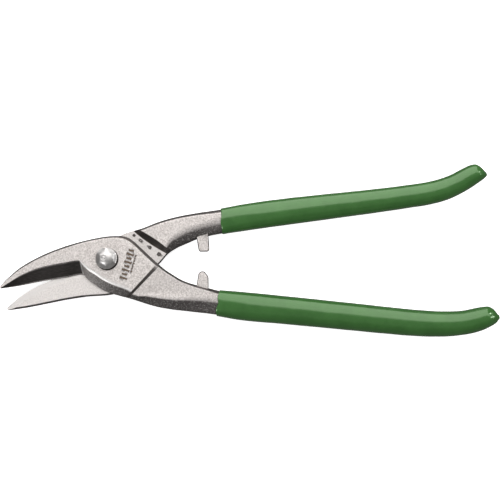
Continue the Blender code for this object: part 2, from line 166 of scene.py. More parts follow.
def smoothstep(x, low, high):
    t = np.clip((x - low) / (high - low), 0, 1)
    return t * t * (3 - 2 * t)


def rounded(corners, radii, runs):
    """Closed outlines with rounded corners, and what each point belongs to: k on corner k, k + 0.5 after it.

    corners is (..., n, 2), radii (..., n), and runs holds n step counts.
    """
    ahead = np.roll(corners, -1, axis=-2) - corners
    length = np.maximum(np.linalg.norm(ahead, axis=-1), 1e-6)
    way = ahead / length[..., None]
    t = np.linspace(0, 1, CORNER_STEPS + 1)[:, None]
    starts, ends = [], []
    for k in range(corners.shape[-2]):
        back = np.minimum(radii[..., k], MOST_ROUNDING * length[..., k - 1])[..., None]
        on = np.minimum(radii[..., k], MOST_ROUNDING * length[..., k])[..., None]
        starts.append(corners[..., k, :] - way[..., k - 1, :] * back)
        ends.append(corners[..., k, :] + way[..., k, :] * on)
    points, tags = [], []
    for k in range(corners.shape[-2]):
        start, end = starts[k][..., None, :], ends[k][..., None, :]
        corner = corners[..., k, None, :]
        points.append((1 - t) ** 2 * start + 2 * t * (1 - t) * corner + t**2 * end)
        tags += [float(k)] * (CORNER_STEPS + 1)
        following = starts[(k + 1) % corners.shape[-2]][..., None, :]
        between = (np.arange(1, runs[k]) / runs[k])[:, None]
        points.append(end + (following - end) * between)
        tags += [k + 0.5] * (runs[k] - 1)
    return np.concatenate(points, axis=-2), np.array(tags)


def fill_in(rows, spacing):
    """Closely spaced rows through the key rows, as a dict of arrays."""
    table = np.array([[row[name] for name in FIELDS] for row in rows], float)
    step = np.abs(np.diff(table[:, :2], axis=0)).max(axis=1)
    travel = np.concatenate([[0.0], np.cumsum(step)])
    stops = [travel[:1]]
    for i, length in enumerate(step):
        parts = max(FEWEST_ROWS, math.ceil(length / spacing))
        stops.append(travel[i] + length * np.arange(1, parts + 1) / parts)
    stops = np.concatenate(stops)
    return {name: smooth_curve(travel, table[:, j])(stops) for j, name in enumerate(FIELDS)}


def skin(rows, cut_edge, back_edge, spacing):
    """The surface through the rows: its points, what each column belongs to, the rows' values, and how far
    each point lies across its section. The points are (stations, columns, 3), in millimetres from MIDDLE."""
    v = fill_in(rows, spacing)
    cut_at, back_at = smooth_curve(*zip(*cut_edge)), smooth_curve(*zip(*back_edge))
    cut = np.stack([v["x_cut"], cut_at(v["x_cut"])], axis=1)
    back = np.stack([v["x_back"], back_at(v["x_back"])], axis=1)
    width = np.linalg.norm(back - cut, axis=1)
    nothing = np.zeros_like(width)
    corners = np.stack([
        np.stack([nothing, v["foot_top"]], 1),
        np.stack([v["flank"], v["face_cut"] - v["dip"]], 1),
        np.stack([v["flank"] + v["chamfer"], v["face_cut"]], 1),
        np.stack([width - v["draft"], v["face_back"]], 1),
        np.stack([width, v["back_top"]], 1),
        np.stack([width, v["back_low"]], 1),
        np.stack([width - v["inner_back"], v["inner"]], 1),
        np.stack([v["inner_cut"], v["inner"]], 1),
        np.stack([nothing, v["foot_low"]], 1),
    ], axis=1)
    radii = np.stack([v["r_foot"], v["r_crest"], v["r_crest"], v["r_back"], v["r_side"], v["r_side"],
                      v["r_inner"], v["r_inner_cut"], v["r_foot"]], axis=1)
    ring, tags = rounded(corners, radii, RUN_STEPS)
    share = ring[..., 0] / width[:, None]
    xy = cut[:, None, :] + (back - cut)[:, None, :] * share[..., None]
    xy[..., 0] += v["bow"][:, None] * 4 * share * (1 - share)
    grid = np.concatenate([xy, ring[..., 1:]], axis=-1)
    return grid, tags, v, ring[..., 0]


def turned_outline(edge, rear):
    """An outline, turned over if it belongs to the rear half."""
    return [(x, -y) for x, y in edge] if rear else edge


def ripple(grid, coarse, fine, fine_share, shift=(0, 0, 0)):
    """Gentle unevenness at each point of a grid. coarse and fine are waves per millimetre."""
    heights = []
    for p in grid.reshape(-1, 3):
        small = noise.noise(Vector(p) * fine + Vector(shift))
        heights.append(noise.noise(Vector(p) * coarse) + fine_share * small)
    return np.array(heights).reshape(grid.shape[:2])


def grid_faces(rings, size):
    """The faces between rings of this many points, which follow each other."""
    faces = []
    for i in range(rings - 1):
        for j in range(size):
            a, b = i * size + j, i * size + (j + 1) % size
            faces.append([a + size, b + size, b, a])
    return faces


def solid(name, points, faces, sharp_degrees=SHARP_DEGREES):
    """A new object with smooth faces, from points in millimetres."""
    mesh = bpy.data.meshes.new(name)
    mesh.from_pydata((np.asarray(points, float) * MM).tolist(), [], faces)
    smooth(mesh, sharp_degrees)
    thing = bpy.data.objects.new(name, mesh)
    bpy.context.scene.collection.objects.link(thing)
    return thing


def smooth(mesh, sharp_degrees=SHARP_DEGREES):
    mesh.shade_smooth()
    mesh.set_sharp_from_angle(angle=math.radians(sharp_degrees))


def closed_grid(name, grid, sharp_degrees=SHARP_DEGREES):
    """A solid through rings of points, closed at both ends."""
    rings, size = grid.shape[:2]
    faces = grid_faces(rings, size)
    faces += [list(range(size)), list(range((rings - 1) * size, rings * size))[::-1]]
    return solid(name, grid.reshape(-1, 3), faces, sharp_degrees)


def combine(target, tool, operation):
    """Cuts tool out of target or joins it on, and removes the tool."""
    modifier = target.modifiers.new("combine", "BOOLEAN")
    modifier.operation = operation
    modifier.solver = "EXACT"
    modifier.object = tool
    evaluated = target.evaluated_get(bpy.context.evaluated_depsgraph_get())
    result = bpy.data.meshes.new_from_object(evaluated)
    target.modifiers.clear()
    target.data = result
    bpy.data.objects.remove(tool, do_unlink=True)


def prism(name, outlines, low, high):
    """Upright prisms on closed outlines, as one mesh. Used as cutters."""
    points, faces = [], []
    for outline in outlines:
        first, n = len(points), len(outline)
        points += [(x, y, high) for x, y in outline] + [(x, y, low) for x, y in outline]
        faces.append([first + j for j in range(n)])
        faces.append([first + n + j for j in range(n)][::-1])
        for j in range(n):
            k = (j + 1) % n
            faces.append([first + k, first + j, first + n + j, first + n + k])
    return solid(name, points, faces)


def round_outline(x, y, radius, sides):
    angles = np.arange(sides) * 2 * math.pi / sides
    return [(x + radius * math.cos(a), y + radius * math.sin(a)) for a in angles]


# ---- forged halves

# A bare row carries no paint, and a plate row is the plain section that the jaw and the cheek start from.
BARE = dict(ground=0.0, polish=0.0, strip=0.0, soot=0.0, soot_inner=0.0)
PLATE_ROW = dict(
    BARE, chamfer=0.15, dip=0.04, face_cut=OUTER, face_back=OUTER, draft=0.9, back_top=LAP + 0.9,
    back_low=LAP + 0.2, inner=LAP, inner_back=0.2, inner_cut=0.1, foot_top=LAP + 0.5, foot_low=LAP,
    r_foot=0.08, r_crest=0.12, r_back=0.4, r_side=0.15, r_inner=0.12, r_inner_cut=0.12, bow=0.0,
)
ROW_SPACING = 0.55
FORGED_WAVE = 0.07  # height of the forged skin's unevenness
OFF_SKIN = 0.02  # a vertex further than this from the skin was made by a cut or a joint
JAW_THINNING = 2.3  # how much thinner the jaw is at its tip
FULL_BAND = 4.0  # towards the tip, where the ground band is narrower than this, the bevels shrink with it
HANDLE_DROP = 0.95  # from the cheek to the outer end of the step
TANG_DROP = 0.8  # what is left of that drop where the tang starts
DROP_LENGTH = 20.0  # the tang has risen again after this length
NARROW_FLANK = 3
NARROW_REACH = 0.586  # how far in a narrow flank reaches, and how low it comes: a chamfer near 45 degrees
NARROW_FOOT = 0.414
WIDE_REACH = 0.80
EASED_CLIMB = ((0.06, 0.02), (0.14, 0.1), (0.5, 0.5), (0.86, 0.9), (0.94, 0.98))  # (along, up) on a slope


def jaw_rows(stations, bands, strips, draft, edge_width, edge_depth):
    """Rows of a blade. The edge_ values shape the bevel along its back, on the lapping side."""
    rows = []
    tip, end = stations[0][0], stations[-1][0]
    for (x_cut, x_back), band, strip in zip(stations, bands, strips):
        thinning = JAW_THINNING * (end - x_cut) / (end - tip)
        top = OUTER - thinning
        slim = min(1.0, band / FULL_BAND)
        rows.append(dict(
            PLATE_ROW, x_cut=x_cut, x_back=x_back, flank=band, face_cut=top, face_back=top,
            chamfer=0.15 * slim, draft=draft * slim, inner_back=edge_width * slim,
            back_low=LAP + edge_depth * slim, back_top=LAP + (edge_depth + 0.4) * slim,
            ground=1.0, strip=strip))
    return rows


def cheek_rows(stations, edge_width=0.2, edge_depth=0.2):
    """Rows of the cheek round the pivot, whose slanted wall gets narrower and lower towards the handle."""
    rows = []
    first, last = stations[0][0], stations[-1][0]
    for x_cut, x_back in stations:
        reach = (x_cut - first) / (last - first)
        rows.append(dict(
            PLATE_ROW, x_cut=x_cut, x_back=x_back, flank=6.4 - 1.8 * reach, chamfer=0.42 - 0.14 * reach,
            inner_back=edge_width, back_low=LAP + edge_depth, back_top=LAP + edge_depth + 0.6,
            dip=0.16, foot_top=LAP + 1.5 - 0.6 * reach, r_foot=0.25, r_crest=0.15,
            polish=1.0 - 0.5 * reach, draft=0.8 + 0.5 * smoothstep(x_back, 5.0, 14.0)))
    return rows


def handle_rows(stations):
    """Rows of the short sunk stretch between the step behind the cheek and the tang."""
    rows = []
    for x_cut, x_back, bow in stations:
        rows.append(dict(
            PLATE_ROW, x_cut=x_cut, x_back=x_back, flank=3.0, chamfer=1.6, dip=0.1,
            face_cut=OUTER - HANDLE_DROP, foot_top=LAP + 1.3, r_foot=0.6, r_crest=1.0, bow=bow,
            inner_back=0.7, back_low=LAP + 1.8, back_top=LAP + 2.4))
    return rows


def reach_of(flank):
    """How far in from the edge a tang's flank meets its flat face."""
    return (NARROW_REACH if flank < NARROW_FLANK else WIDE_REACH) * flank


def tang_rows(stations, cut_flanks, back_flanks, halves, bows, wide_foot):
    """Rows of a tang. A wide flank comes down to wide_foot of the half height."""
    def foot_of(flank, half):
        return (NARROW_FOOT if flank < NARROW_FLANK else wide_foot) * half

    rows = []
    for (x_cut, x_back), cut, back, half, bow in zip(stations, cut_flanks, back_flanks, halves, bows):
        sunk = TANG_DROP * max(0.0, 1 - (x_cut - stations[0][0]) / DROP_LENGTH)
        rows.append(dict(
            BARE, x_cut=x_cut, x_back=x_back, flank=reach_of(cut), chamfer=4.0, dip=0.0,
            face_cut=half - sunk, face_back=half, draft=reach_of(back), back_top=foot_of(back, half),
            back_low=-foot_of(back, half), inner=-half, inner_back=reach_of(back),
            inner_cut=reach_of(cut), foot_top=foot_of(cut, half), foot_low=-foot_of(cut, half),
            r_foot=1.6, r_crest=0.2 * cut, r_back=0.3 * back, r_side=2.2, r_inner=0.26 * back,
            r_inner_cut=0.26 * cut, bow=bow))
    return rows


def slope(low_row, high_row, **painted):
    """Rows for a nearly straight slope from one row to the next, with eased ends."""
    rows = []
    for share, climb in EASED_CLIMB:
        row = {name: low_row[name] + (high_row[name] - low_row[name]) * climb for name in FIELDS}
        for name in ("x_cut", "x_back", "bow"):
            row[name] = low_row[name] + (high_row[name] - low_row[name]) * share
        rows.append(dict(row, **painted))
    return rows


def read(items, field, width, kind=float):
    """A field of many mesh items, as one row each."""
    values = np.zeros(len(items) * width, kind)
    items.foreach_get(field, values)
    return values.reshape(-1, width)


def bare_paint(mask, lean):
    """Paint of a forged surface that leans over by this much, for the parts no row describes."""
    if mask == "wall":
        return smoothstep(lean, 0.03, 0.3)
    # Steep sides get painted shade, which darkens their outlines.
    if mask == "soot":
        return smoothstep(lean, 0.25, 0.7)
    return np.zeros_like(lean)


def paint_of(v, tags, across, steep):
    """Where the skin of a half is ground, polished, honed, worn or under painted shade, as one mask each from
    0 to 1.
    """
    band_columns = ((tags > 0) & (tags < 1))[None, :]
    crest_columns = ((tags >= 1) & (tags <= 2))[None, :]
    on_outer = ((tags > 0) & (tags < 3.2))[None, :]
    on_inner = ((tags > 6) & (tags <= 8))[None, :]
    ground = v["ground"][:, None]
    band = band_columns * smoothstep(ground, 0.4, 0.6)
    facet = band_columns * smoothstep(4 * ground * (1 - ground), 0.05, 0.5)
    chamfer = crest_columns * (v["polish"] * (1 - v["soot"]))[:, None]
    honed_width = v["strip"][:, None]
    honed = on_inner * smoothstep(honed_width + 0.25 - across, 0.0, 0.5) * (honed_width > 0)
    bare = (1 - band) * (1 - chamfer) * (1 - facet)
    rubbed = 1 - v["polish"] * (0.12 + 0.36 * smoothstep(-v["x_cut"], -6.0, 12.0))
    fade = 1 - 0.7 * smoothstep(across / across.max(axis=1, keepdims=True), 0.84, 0.98)
    # Painted shade along the slopes behind the cheek, fading towards the far edge.
    step = on_inner * v["soot_inner"][:, None] + on_outer * v["soot"][:, None] * fade
    masks = {
        "ground": band * (1 - facet),
        "polish": np.maximum(chamfer, facet),
        "honed": honed,
        "wall": smoothstep(steep, 0.02, 0.125) * bare * rubbed[:, None],
        "soot": np.maximum(smoothstep(steep, 0.4, 0.72), step) * bare,
    }
    return masks, band


def lay_on(half, masks, points):
    """Writes the masks on the half's face corners, each from the nearest point of the skin it was made on."""
    tree = kdtree.KDTree(len(points))
    for i, p in enumerate(points):
        tree.insert(p, i)
    tree.balance()
    spots = read(half.data.vertices, "co", 3) / MM
    nearest = [tree.find(p) for p in spots]
    index = np.array([found[1] for found in nearest])
    off_skin = np.array([found[2] for found in nearest]) > OFF_SKIN
    lean = 1 - np.abs(read(half.data.vertices, "normal", 3)[:, 2])
    face_lean = 1 - np.abs(read(half.data.polygons, "normal", 3)[:, 2])
    corners = read(half.data.loops, "vertex_index", 1, int)[:, 0]
    sides = read(half.data.polygons, "loop_total", 1, int)[:, 0]
    face = np.repeat(np.arange(len(face_lean)), sides)
    on_lug = read(half.data.attributes["lug"].data, "value", 1)[face, 0] > 0.5
    for mask, values in masks.items():
        painted = np.where(off_skin, bare_paint(mask, lean), values.reshape(-1)[index])[corners]
        painted = np.where(on_lug, bare_paint(mask, face_lean)[face], painted)
        layer = half.data.attributes.new(mask, "FLOAT", "CORNER")
        layer.data.foreach_set("value", painted.astype(np.float32))


def forged_half(name, cut_edge, back_edge, rows, lug, rear, marks):
    """One forging: a skin through its rows, with its stop lug, the pivot's bore and the cut marks."""
    turn = TURNED_OVER if rear else np.ones(3)
    grid, tags, v, across = skin(rows, turned_outline(cut_edge, rear), turned_outline(back_edge, rear),
                                 ROW_SPACING)
    along = np.gradient(grid, axis=0)
    around = np.roll(grid, -1, axis=1) - np.roll(grid, 1, axis=1)
    normal = np.cross(along, around)
    normal /= np.maximum(np.linalg.norm(normal, axis=-1, keepdims=True), 1e-9)
    masks, band = paint_of(v, tags, across, 1 - np.abs(normal[..., 2]))

    # The forged skin is a little uneven, more so on the tang, and the lapping face stays true.
    rough = smoothstep(v["x_cut"], 13.0, 22.0)[:, None]
    forged = np.where(np.abs(grid[..., 2] - LAP) < 0.02, 0.0, 1.0) * (0.25 + 0.75 * rough)
    wave = ripple(grid, coarse=0.23, fine=0.61, fine_share=0.5, shift=(9, 4, 2))
    grid = grid + normal * (FORGED_WAVE * forged * wave * (1 - band))[..., None]
    points = grid * turn + (0, 0, MIDDLE)
    half = closed_grid(name, points)

    bore = prism("bore", [round_outline(0, 0, BORE_RADIUS, 72)], REAR_FACE - 5, FRONT_FACE + 5)
    combine(half, stop_lug(f"{name}_lug", lug), "UNION")
    combine(half, bore, "DIFFERENCE")
    combine(half, marks, "DIFFERENCE")
    smooth(half.data)
    lay_on(half, masks, points.reshape(-1, 3))
    return half


UPPER_LUG = [(49.0, 13.5), (50.4, 4.6), (51.0, 3.55), (55.7, 3.55), (56.4, 4.6), (55.6, 15.0)]
LOWER_LUG = [(49.0, -17.5), (50.3, -8.5), (51.7, -7.15), (53.7, -7.3), (55.9, -10.2), (56.0, -19.5)]
LUG_CORNER_RADII = [0.2, 0.9, 0.9, 0.9, 0.9, 0.2]
LUG_HALF = 2.5
LUG_LEVELS = [(1.3, LUG_HALF), (0.62, LUG_HALF), (0.5, LUG_HALF - 0.04), (0.42, LUG_HALF - 0.16), (0.0, 0.3)]


def stop_lug(name, outline):
    """A lug with rounded corners and drafted sides, whose root lies inside the tang."""
    ring, _ = rounded(np.array(outline, float), np.array(LUG_CORNER_RADII), (4,) * len(outline))
    middle = ring.mean(axis=0)
    levels = LUG_LEVELS + [(inset, -height) for inset, height in LUG_LEVELS[::-1]]
    reach = np.linalg.norm(ring - middle, axis=1, keepdims=True)
    rings = []
    for inset, height in levels:
        shrunk = middle + (ring - middle) * (1 - inset / reach)
        rings.append(np.column_stack([shrunk, np.full(len(ring), MIDDLE + height)]))
    made = closed_grid(name, np.array(rings))
    every_face = np.ones(len(made.data.polygons), np.float32)
    made.data.attributes.new("lug", "FLOAT", "FACE").data.foreach_set("value", every_face)
    return made


MARK_DEPTH = 0.34
CUTTER_HEIGHT = 3  # a cutter stands this far out of the face that it cuts
SCALE_START = np.array([9.3, -10.9])
SCALE_WAY = np.array([5.0, 17.4]) / np.linalg.norm([5.0, 17.4])
BAR_COUNT = 8
BAR_PITCH = 2.25
BAR_HALF_WIDTH = 0.42
LONG_BAR_HALF = 2.1
SHORT_BAR_HALF = 1.4
DOT_START = np.array([13.6, -7.2])
DOT_COUNT = 7
DOT_PITCH = 1.45
DOT_RADIUS = 0.42
RING_DEPTH = 0.35
RING_GROOVE = 0.42
RING_SIDES = 28
LOCATING_RINGS = ((14.9, 12.6, 0.75), (18.7, 9.6, 0.8), (23.6, 5.9, 0.9), (28.6, 2.2, 1.05))


def front_marks():
    """A plain scale: long and short bars in one row and dots in a second, cut into the cheek."""
    outlines = []
    side = np.array([SCALE_WAY[1], -SCALE_WAY[0]])
    for i in range(BAR_COUNT):
        centre = SCALE_START + SCALE_WAY * (BAR_PITCH * i)
        half = side * (LONG_BAR_HALF if i % 2 == 0 else SHORT_BAR_HALF)
        edge = SCALE_WAY * BAR_HALF_WIDTH
        bar = [centre - half - edge, centre + half - edge, centre + half + edge, centre - half + edge]
        outlines.append([tuple(p) for p in bar])
    for i in range(DOT_COUNT):
        x, y = DOT_START + SCALE_WAY * (DOT_PITCH * i)
        outlines.append(round_outline(x, y, DOT_RADIUS, 12))
    return prism("front_marks", outlines, FRONT_FACE - MARK_DEPTH, FRONT_FACE + CUTTER_HEIGHT)


def rear_marks():
    """Four shallow locating rings on the strip beside the front plate."""
    low, high = MIDDLE - LAP - RING_DEPTH, MIDDLE - LAP + CUTTER_HEIGHT
    points, faces = [], []
    for x, y, radius in LOCATING_RINGS:
        first = len(points)
        outer = round_outline(x, y, radius, RING_SIDES)
        inner = round_outline(x, y, radius - RING_GROOVE, RING_SIDES)
        for outline, level in ((outer, high), (outer, low), (inner, low), (inner, high)):
            points += [(px, py, level) for px, py in outline]
        for lap in range(4):
            a, b = first + lap * RING_SIDES, first + ((lap + 1) % 4) * RING_SIDES
            for j in range(RING_SIDES):
                k = (j + 1) % RING_SIDES
                faces.append([a + k, a + j, b + j, b + k])
    return solid("rear_marks", points, faces)


# Stations as (x at the cutting-edge side, x at the back side), and for the handles how far each row bends.
FRONT_JAW = [(-58.2, -58.6), (-56.5, -56.5), (-53, -53), (-48.3, -48.3), (-43, -43), (-37, -38),
             (-31, -32.5), (-25, -27.5), (-18.5, -22), (-13.4, -16.9)]
FRONT_BANDS = [0.45, 1.3, 3.0, 5.2, 6.8, 7.7, 8.2, 8.35, 8.25, 7.8]
FRONT_CHEEK = [(-12.3, -15.7), (-9.6, -11), (-6.2, -5), (-2.5, 1.5), (1, 7), (4.5, 13), (8, 20.5),
               (10.4, 27.8)]
FRONT_HANDLE = [(12.0, 29.3, 0), (13.2, 31, 0), (14.9, 33.6, 0)]
FRONT_TANG = [(18.2, 36.6), (24, 41), (31, 45.5), (39, 50), (48, 54), (56, 58), (60.3, 61.6), (62, 63),
              (68, 69)]
REAR_JAW = [(-55.2, -54.3), (-53, -53), (-48.3, -49), (-43, -44), (-37, -38), (-31, -32),
            (-25, -25.5), (-19, -19), (-14.6, -13)]
REAR_BANDS = [0.45, 1.6, 4.3, 7.0, 8.1, 8.4, 8.5, 8.4, 8.0]
REAR_CHEEK = [(-14, -12), (-11.8, -7), (-8.5, -2), (-4, 3.3), (1, 10), (6, 18), (11, 27.6)]
REAR_HANDLE = [(12, 29, 0), (13.2, 31.3, -0.5), (14.5, 33.5, -1.4)]
REAR_TANG = [(17.6, 35.3), (22, 37.8), (28, 41), (35.7, 45), (43, 50), (51, 55), (58, 60), (62.6, 63.3),
             (64.5, 65), (70, 71)]

front_cheek = cheek_rows(FRONT_CHEEK)
front_handle = handle_rows(FRONT_HANDLE)
front_tang = tang_rows(
    FRONT_TANG,
    cut_flanks=[6.0, 7.8, 8.8, 9.2, 9.3, 9.3, 9.2, 9.1, 8.4],
    back_flanks=[1.5, 1.5, 1.6, 1.8, 2.0, 2.3, 2.6, 2.8, 2.9],
    halves=[OUTER, OUTER, OUTER, 5.2, 5.1, 5.0, 4.9, 4.6, 4.2],
    bows=[0] * 9, wide_foot=0.14)
front_jaw = jaw_rows(
    FRONT_JAW, FRONT_BANDS, strips=[0.4, 0.6, 0.8, 1, 1, 1, 1, 1, 1, 1],
    draft=0.8, edge_width=0.45, edge_depth=0.5)
# The slopes into the handle and the tang carry painted shade.
front_rows = (
    front_jaw + front_cheek + slope(front_cheek[-1], front_handle[0], soot=1.0)
    + front_handle + slope(front_handle[-1], front_tang[0], soot_inner=1.0) + front_tang
)
rear_cheek = cheek_rows(REAR_CHEEK, edge_width=1.0, edge_depth=2.4)
rear_handle = handle_rows(REAR_HANDLE)
rear_tang = tang_rows(
    REAR_TANG,
    cut_flanks=[1.6, 1.6, 1.7, 1.8, 1.9, 2.1, 2.4, 2.6, 2.8, 2.9],
    back_flanks=[5.0, 6.4, 7.3, 7.8, 8.0, 8.1, 8.1, 8.0, 7.7, 7.0],
    halves=[OUTER, OUTER, OUTER, OUTER, 5.2, 5.1, 5.0, 4.9, 4.6, 4.2],
    bows=[1.5, 0.7, 0.2, 0, 0, 0, 0, 0, 0, 0], wide_foot=0.36)
rear_jaw = jaw_rows(
    REAR_JAW, REAR_BANDS, strips=[0.5, 1.5, 3.4, 4.2, 4.1, 3.6, 3.1, 2.8, 2.5],
    draft=0.5, edge_width=1.1, edge_depth=2.6)
# The slopes into the handle and the tang carry painted shade.
rear_rows = (
    rear_jaw + rear_cheek + slope(rear_cheek[-1], rear_handle[0], soot=1.0)
    + rear_handle + slope(rear_handle[-1], rear_tang[0], soot_inner=1.0) + rear_tang
)
front_half = forged_half("forged_front_half", FRONT_CUT_EDGE, FRONT_BACK_EDGE, front_rows, LOWER_LUG,
                         rear=False, marks=front_marks())
rear_half = forged_half("forged_rear_half", REAR_CUT_EDGE, REAR_BACK_EDGE, rear_rows, UPPER_LUG,
                        rear=True, marks=rear_marks())


# ---- dipped grips

GRIP_HALF_HEIGHT = 6.4
GRIP_COLUMNS = 96
LIP_LENGTH = 8.0  # the first stretch has closer rings
TIP_STATIONS = 5  # and so have the last stations
LIP_RADIUS = 0.85
POCKET_RING = 14  # the pocket inside the mouth ends at this ring
SKIN_SWELL = 0.010  # unevenness, as a share of the grip's half width
TIP_BULGE = 0.55


def oval(width, height, fullness):
    """Points round a slightly squared oval, as (across from 0 to width, height)."""
    a = np.arange(GRIP_COLUMNS) * 2 * math.pi / GRIP_COLUMNS
    c, s = np.cos(a), np.sin(a)
    power = 2 / fullness[:, None]
    across = np.sign(c) * np.abs(c) ** power
    climb = np.sign(s) * np.abs(s) ** power
    return np.stack([width[:, None] * (0.5 - 0.5 * across), height[:, None] * climb], axis=-1)


def dipped_grip(name, outer_edge, inner_edge, stations, mouth, rear):
    """A dipped sleeve with a wavy rolled mouth and a rounded end."""
    table = np.array(stations, float)
    step = np.abs(np.diff(table[:, :2], axis=0)).max(axis=1)
    travel = np.concatenate([[0.0], np.cumsum(step)])
    tip_start = travel[-TIP_STATIONS]
    stops = np.concatenate([np.linspace(0, LIP_LENGTH, 17)[:-1], np.linspace(LIP_LENGTH, tip_start, 120)[:-1],
                            np.linspace(tip_start, travel[-1], 40)])
    x_outer, x_inner, share = (smooth_curve(travel, table[:, j])(stops) for j in range(3))
    outer_at = smooth_curve(*zip(*turned_outline(outer_edge, rear)))
    inner_at = smooth_curve(*zip(*turned_outline(inner_edge, rear)))
    outer = np.stack([x_outer, outer_at(x_outer)], axis=1)
    inner = np.stack([x_inner, inner_at(x_inner)], axis=1)
    mouth_at = smooth_curve(*zip(*mouth))

    def rings(pick, inset, shift=0.0):
        """The rings at these stops, this far inside the outline and moved along the grip by shift."""
        a, b = outer[pick], inner[pick]
        width = np.linalg.norm(b - a, axis=1)
        way = (b - a) / width[:, None]
        inset = np.broadcast_to(inset, width.shape)
        fullness = 2.15 + 0.45 * np.exp(-((stops[pick] / 14.0) ** 2))
        ring = oval(width - 2 * inset, GRIP_HALF_HEIGHT * share[pick] - inset, fullness)
        along = ring[..., 0] + inset[:, None]
        xy = a[:, None, :] + way[:, None, :] * along[..., None]
        part = along / width[:, None]
        xy[..., 0] += mouth_at(part) * np.exp(-((stops[pick] / 2.6) ** 2))[:, None] + shift
        return np.concatenate([xy, ring[..., 1:]], axis=-1)

    body = rings(np.arange(1, len(stops)), 0.0)
    middle = body.mean(axis=1, keepdims=True)
    swell = ripple(body, coarse=0.11, fine=0.37, fine_share=0.4)
    settle = smoothstep(stops[1:], 0.0, 6.0)
    body += (body - middle) * (SKIN_SWELL * swell * settle[:, None])[..., None]
    # The lip rolls from the skin down to the steel, and a short pocket runs back inside.
    mouth_ring = np.array([0])
    lip = []
    for a in np.radians([0, 15, 30, 45, 60, 75]):
        shift = LIP_RADIUS * (1 - math.cos(a) - math.sin(a)) + 0.1
        lip.append(rings(mouth_ring, LIP_RADIUS * (1 - math.sin(a)), shift)[0])
    grid = np.concatenate([rings(np.array([POCKET_RING]), 2.9), rings(mouth_ring, 2.7, 0.6),
                           rings(mouth_ring, 1.2, 0.35), np.array(lip), body])
    tip = grid[-1].mean(axis=0)
    closing = []
    for share_left in (0.9, 0.7, 0.45, 0.2):
        bulge = TIP_BULGE * math.sqrt(1 - share_left * share_left)
        closing.append(tip + (grid[-1] - tip) * share_left + (bulge, 0, 0))
    grid = np.concatenate([grid, np.array(closing)])
    grid = grid * (TURNED_OVER if rear else np.ones(3)) + (0, 0, MIDDLE)
    return closed_grid(name, grid, sharp_degrees=60.0)


# The wave of each mouth, as (share across the grip, how far it runs on).
LOWER_MOUTH = [(0.0, 0.1), (0.22, -0.75), (0.54, 0.2), (0.74, -0.35), (1.0, 0.4)]
UPPER_MOUTH = [(0.0, -0.1), (0.25, 0.2), (0.55, -0.35), (0.8, 0.15), (1.0, 0.3)]
lower_grip = dipped_grip("dipped_lower_grip", LOWER_GRIP_OUTER_EDGE, LOWER_GRIP_INNER_EDGE,
                         LOWER_GRIP_STATIONS, LOWER_MOUTH, rear=False)
upper_grip = dipped_grip("dipped_upper_grip", UPPER_GRIP_OUTER_EDGE, UPPER_GRIP_INNER_EDGE,
                         UPPER_GRIP_STATIONS, UPPER_MOUTH, rear=True)


# ---- fasteners

def full_turn(sides):
    """Evenly spaced angles round a turned piece."""
    return np.arange(sides) * 2 * math.pi / sides


def turned(profile, angles):
    """Rings of a turned shape, from its profile as (radius, height)."""
    return [np.array([(r * math.cos(a), r * math.sin(a), z) for a in angles]) for r, z in profile]


FACET_COUNT = 6
FACET_APOTHEM = 3.1  # from the axis to where a facet starts
FACET_SLOPE = 1.0
FACET_DROP = 0.1
CROWN_CURVE = 0.05
CROWN_HARDNESS = 5.0  # the higher, the crisper the edges between facets
DIMPLE_PLACE = (-1.5, 0.3)
DIMPLE_RADIUS = 1.0
DIMPLE_WIDTH = 0.42
DIMPLE_DEPTH = 0.16
RIM_SHARE = 0.93  # the crown ends here and the rim rolls over
RIM_DROP = 0.75


def bolt_crown(x, y):
    """Height of the bolt's head: a low dome, six sloping facets and a small worn ring off its middle."""
    levels = [HEAD_TOP - CROWN_CURVE * (x * x + y * y)]
    for k in range(FACET_COUNT):
        a = k * math.pi / 3
        out = x * math.cos(a) + y * math.sin(a) - FACET_APOTHEM
        levels.append(HEAD_TOP - FACET_DROP - FACET_SLOPE * out)
    levels = np.array(levels)
    lowest = levels.min(axis=0)
    weights = np.exp(-CROWN_HARDNESS * (levels - lowest)).sum(axis=0)
    crown = -np.log(weights) / CROWN_HARDNESS + lowest
    ring = np.hypot(x - DIMPLE_PLACE[0], y - DIMPLE_PLACE[1])
    groove = DIMPLE_DEPTH * np.exp(-(((ring - DIMPLE_RADIUS) / DIMPLE_WIDTH) ** 2))
    return crown - groove + 0.05 * np.exp(-((ring / 0.5) ** 2))


def faceted_bolt():
    """A low faceted head on a round base, a plain shank and a chamfered end with a centre hole."""
    angles = full_turn(144)
    base = FRONT_FACE + SEAT_GAP
    rings = []
    for r in np.linspace(0.02, RIM_SHARE, 34) * HEAD_RADIUS:
        x, y = r * np.cos(angles), r * np.sin(angles)
        rings.append(np.stack([x, y, bolt_crown(x, y)], axis=1))
    rim = HEAD_RADIUS * RIM_SHARE
    shoulder = bolt_crown(rim * np.cos(angles), rim * np.sin(angles))
    for t in np.radians([25, 50, 75, 90]):
        r = rim + (HEAD_RADIUS - rim) * math.sin(t)
        z = shoulder - RIM_DROP * (1 - math.cos(t))
        rings.append(np.stack([r * np.cos(angles), r * np.sin(angles), z], axis=1))
    rx, ry = HEAD_RADIUS * np.cos(angles), HEAD_RADIUS * np.sin(angles)
    low = shoulder - RIM_DROP
    for t in (0.35, 0.7, 1.0):
        rings.append(np.stack([rx, ry, low + (base + 0.25 - low) * t], axis=1))
    foot = [(HEAD_RADIUS - 0.08, base + 0.08), (HEAD_RADIUS - 0.25, base), (SHANK_RADIUS + 0.2, base)]
    shank = [(SHANK_RADIUS, base - 0.2), (SHANK_RADIUS, 5.6), (SHANK_RADIUS - 0.02, 5.0),
             (SHANK_RADIUS - 0.02, 0.55)]
    end = [(3.55, 0.06), (3.4, 0.0), (1.2, 0.0), (1.05, 0.06), (0.4, 0.5), (0.02, 0.6)]
    rings += turned(foot + shank + end, angles)
    return closed_grid("faceted_pivot_bolt", np.array(rings), sharp_degrees=40.0)


